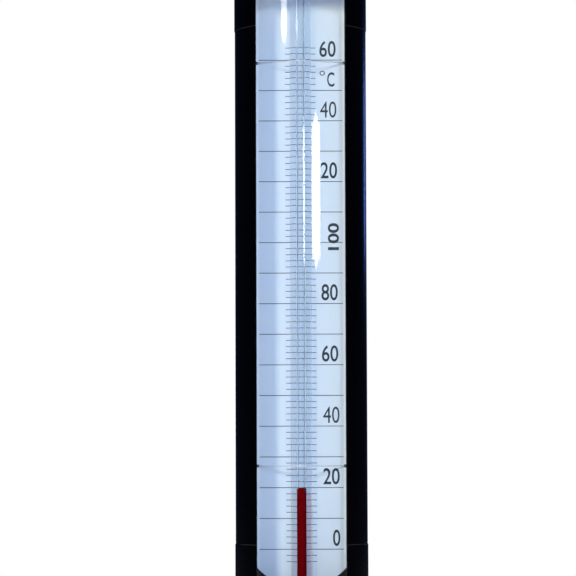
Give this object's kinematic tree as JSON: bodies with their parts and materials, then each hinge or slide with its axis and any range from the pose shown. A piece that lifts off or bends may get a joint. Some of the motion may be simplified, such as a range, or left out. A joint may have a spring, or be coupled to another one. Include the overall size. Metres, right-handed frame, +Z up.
{
  "type": "angle thermometer",
  "caption": "Angle-form industrial glass thermometer: liquid column behind a long window in a round black case, with a right-angle immersion stem and a turning thread.",
  "frame": {"origin": "centre of the sealing face: the front of the washer, on the stem's axis", "axes": "+Y along the stem into the pipe or vessel, -Y towards the reader, +Z up the case, +X to the reader's right"},
  "size_m": [0.0312, 0.1125, 0.1986],
  "materials": {
    "black_finish": "satin black finish, worn a little brighter along the edges",
    "plated_steel": "bright plated",
    "stem_steel": "turned and polished round",
    "brass": "turned, satin",
    "copper": "annealed copper",
    "clear_glass": "fire polished",
    "milk_glass": "smooth white opal glass with filled lines",
    "red_liquid": "dyed red liquid",
    "dark_rubber": "matt",
    "white_packing": "matt white",
    "grey_filling": "packed grey paste"
  },
  "bodies": {
    "case": {"case_tube": "black_finish", "elbow_rear": "black_finish", "elbow_front": "black_finish", "bottom_cap": "black_finish", "case_screws": "plated_steel", "upper_tie_wire": "plated_steel", "lower_tie_wire": "plated_steel", "stem_tube": "stem_steel", "stem_tip": "stem_steel", "stem_carrier": "brass", "glass_envelope": "clear_glass", "glass_leg": "clear_glass", "capillary": "clear_glass", "leg_capillary": "clear_glass", "bulb": "clear_glass", "plate_saddle": "clear_glass", "scale_plate": "milk_glass", "bulb_liquid": "red_liquid", "leg_thread": "red_liquid", "scale_thread": "red_liquid", "lower_cushion": "dark_rubber", "plate_pad": "white_packing", "carrier_seal": "white_packing", "heat_filling": "grey_filling"},
    "nipple": {"swivel_nipple": "brass", "sealing_washer": "copper"},
    "cap": {"top_cap": "black_finish", "top_cushion": "dark_rubber", "pressure_spring": "plated_steel"},
    "column": {"thread_head": "red_liquid"}
  },
  "joints": [
    {"name": "column_rise", "type": "slide", "parent": "case", "child": "column", "axis": [0, 0, 1], "range_m": [-0.015, 0.09], "deforming": ["scale_thread"]},
    {"name": "nipple_turn", "type": "hinge", "parent": "case", "child": "nipple", "pos_m": [0, 0, 0], "axis": [0, 1, 0], "continuous": true},
    {"name": "cap_lift", "type": "slide", "parent": "case", "child": "cap", "axis": [0, 0, 1], "range_m": [0, 0.034]}
  ]
}
